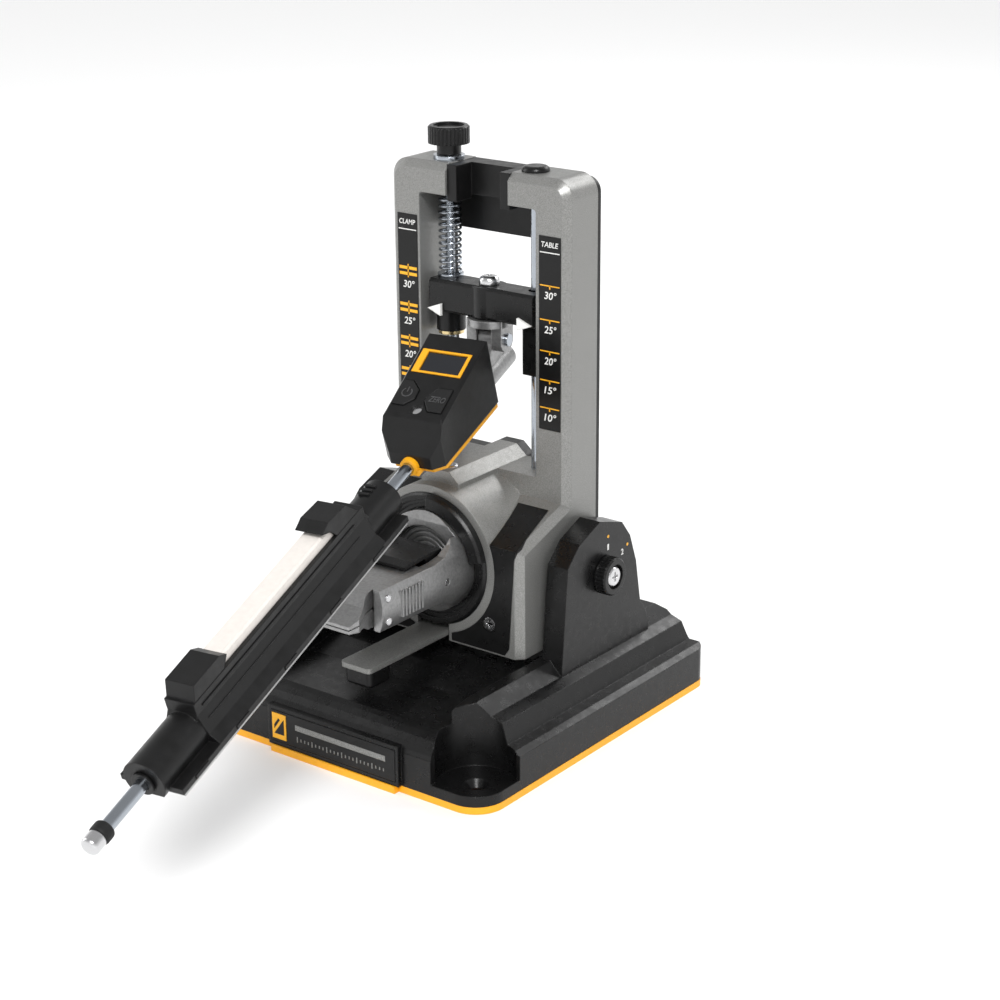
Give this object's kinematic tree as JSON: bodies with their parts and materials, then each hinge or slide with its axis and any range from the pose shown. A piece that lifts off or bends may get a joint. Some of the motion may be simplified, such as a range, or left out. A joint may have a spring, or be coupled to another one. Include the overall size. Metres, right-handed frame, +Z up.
{
  "type": "guided-rod honing guide",
  "caption": "Guided-rod knife sharpening stand with tilting frame, height carriage, swivelling rod, digital angle gauge, stone holder and turning knife clamp.",
  "frame": {"origin": "on the floor under the middle of the frame front outline", "axes": "+Z up, +Y to the back of the stand, +X to the user's right"},
  "size_m": [0.1474, 0.3255, 0.2397],
  "materials": {
    "base_plastic": "satin",
    "yellow_plastic": "satin",
    "black_rubber": "matte",
    "plated_screw": "polished",
    "badge_print": "satin",
    "yellow_label": "satin",
    "black_fittings": "satin",
    "nylon_washer": "matte",
    "silver_paint": "satin",
    "black_cover": "satin",
    "scale_print": "satin",
    "black_trim": "satin",
    "chrome_steel": "polished",
    "brass_nut": "satin",
    "white_print": "satin",
    "grey_cast": "satin",
    "gauge_plastic": "satin",
    "display_glass": "glossy",
    "board_green": "satin",
    "holder_plastic": "satin",
    "white_ceramic": "matte",
    "diamond_steel": "matte",
    "jaw_steel": "satin"
  },
  "bodies": {
    "base": {"base_shell": "base_plastic", "base_plate": "yellow_plastic", "rubber_feet": "black_rubber", "base_screws": "plated_screw", "front_badge": "badge_print", "badge_tile": "yellow_label", "pivot_pin": "black_fittings", "pivot_washers": "nylon_washer"},
    "tilt_knob": {"tilt_knob": "black_fittings", "tilt_screw": "plated_screw"},
    "frame": {"frame_casting": "silver_paint", "rear_cover": "black_cover", "notch_liner": "black_cover", "clamp_scale": "scale_print", "table_scale": "scale_print", "trim_panels": "black_trim", "frame_screws": "plated_screw", "collar_ring": "black_fittings", "guide_column": "chrome_steel", "column_cap": "black_fittings", "knob_washer": "chrome_steel", "lever_pin": "chrome_steel"},
    "release_lever": {"lever_plate": "silver_paint", "lever_pad": "black_fittings"},
    "height_screw": {"lead_screw": "chrome_steel", "height_knob": "black_fittings"},
    "carriage": {"crossbar": "black_fittings", "lead_nut": "brass_nut", "column_bushing": "black_fittings", "pointers": "white_print", "spring_seat": "chrome_steel", "lift_spring": "chrome_steel"},
    "swivel": {"clevis": "grey_cast", "swivel_screw": "plated_screw", "pitch_pin": "chrome_steel"},
    "rod": {"rod_hub": "grey_cast", "guide_rod": "chrome_steel", "rod_bumper": "black_rubber", "rod_cap": "plated_screw", "sensor_housing": "gauge_plastic", "sensor_base": "yellow_plastic", "display_bezel": "yellow_plastic", "display_lens": "display_glass", "circuit_board": "board_green", "coin_cell": "chrome_steel", "sensor_screw": "plated_screw"},
    "power_button": {"power_button": "black_rubber"},
    "zero_button": {"zero_button": "black_rubber"},
    "sleeve": {"holder_sleeve": "holder_plastic"},
    "holder": {"holder_body": "holder_plastic", "ceramic_stone": "white_ceramic", "diamond_plate": "diamond_steel", "plate_magnets": "plated_screw"},
    "clamp": {"clamp_body": "grey_cast", "hub_disc": "grey_cast", "clamp_nut": "black_fittings", "jaw_pins": "plated_screw"},
    "upper_jaw": {"upper_jaw": "jaw_steel"},
    "lower_jaw": {"lower_jaw": "jaw_steel"},
    "cam_lever": {"cam_lever": "black_fittings"}
  },
  "joints": [
    {"name": "frame_tilt", "type": "hinge", "parent": "base", "child": "frame", "pos_m": [0, 0.005, 0.0643], "axis": [-1, 0, 0], "range_deg": [0, 20]},
    {"name": "tilt_knob_turn", "type": "hinge", "parent": "base", "child": "tilt_knob", "pos_m": [0.06, 0.005, 0.0643], "axis": [1, 0, 0], "range_deg": [0, 180]},
    {"name": "release_lever_press", "type": "hinge", "parent": "frame", "child": "release_lever", "pos_m": [0, -0.022, 0.04], "axis": [1, 0, 0], "range_deg": [0, 3.5], "stiffness_Nm_per_rad": 0.6, "springref_deg": -11.46},
    {"name": "carriage_slide", "type": "slide", "parent": "frame", "child": "carriage", "axis": [0, 0, 1], "range_m": [-0.016, 0.015], "deforming": ["lift_spring"]},
    {"name": "height_screw_turn", "type": "hinge", "parent": "frame", "child": "height_screw", "pos_m": [-0.0218, 0.0073, 0.16], "axis": [0, 0, -1], "range_deg": [-7700, 7300]},
    {"name": "rod_yaw", "type": "hinge", "parent": "carriage", "child": "swivel", "pos_m": [0, 0.005, 0.16], "axis": [0, 0, 1], "range_deg": [-33, 13]},
    {"name": "rod_pitch", "type": "hinge", "parent": "swivel", "child": "rod", "pos_m": [0, 0.005, 0.155], "axis": [0.9887, 0.1501, 0], "range_deg": [-30, 7.5]},
    {"name": "power_button_press", "type": "slide", "parent": "rod", "child": "power_button", "axis": [-0.0828, 0.5457, -0.8339], "range_m": [0, 0.0008], "stiffness_N_per_m": 600, "springref_m": -0.0012},
    {"name": "zero_button_press", "type": "slide", "parent": "rod", "child": "zero_button", "axis": [-0.0828, 0.5457, -0.8339], "range_m": [0, 0.0008], "stiffness_N_per_m": 600, "springref_m": -0.0012},
    {"name": "holder_slide", "type": "slide", "parent": "rod", "child": "sleeve", "axis": [0.1425, -0.9387, -0.314], "range_m": [-0.018, 0.02]},
    {"name": "holder_turn", "type": "hinge", "parent": "sleeve", "child": "holder", "pos_m": [0.02422, -0.15457, 0.08742], "axis": [0.1425, -0.9387, -0.314], "range_deg": [0, 180]},
    {"name": "clamp_turn", "type": "hinge", "parent": "frame", "child": "clamp", "pos_m": [0, -0.034, 0.0705], "axis": [0, 1, 0], "range_deg": [0, 180]},
    {"name": "cam_lever_lift", "type": "hinge", "parent": "clamp", "child": "cam_lever", "pos_m": [0, -0.052, 0.0705], "axis": [-1, 0, 0], "range_deg": [0, 90]},
    {"name": "upper_jaw_open", "type": "hinge", "parent": "clamp", "child": "upper_jaw", "pos_m": [0, -0.088, 0.0753], "axis": [-1, 0, 0], "range_deg": [0, 4.5]},
    {"name": "lower_jaw_open", "type": "hinge", "parent": "clamp", "child": "lower_jaw", "pos_m": [0, -0.088, 0.0657], "axis": [1, 0, 0], "range_deg": [0, 4.5]}
  ],
  "couplings": [
    {"joint": "height_screw_turn", "follows": "carriage_slide", "rad_per_m": 8377.6},
    {"joint": "upper_jaw_open", "follows": "cam_lever_lift", "ratio": 0.05},
    {"joint": "lower_jaw_open", "follows": "cam_lever_lift", "ratio": 0.05}
  ]
}
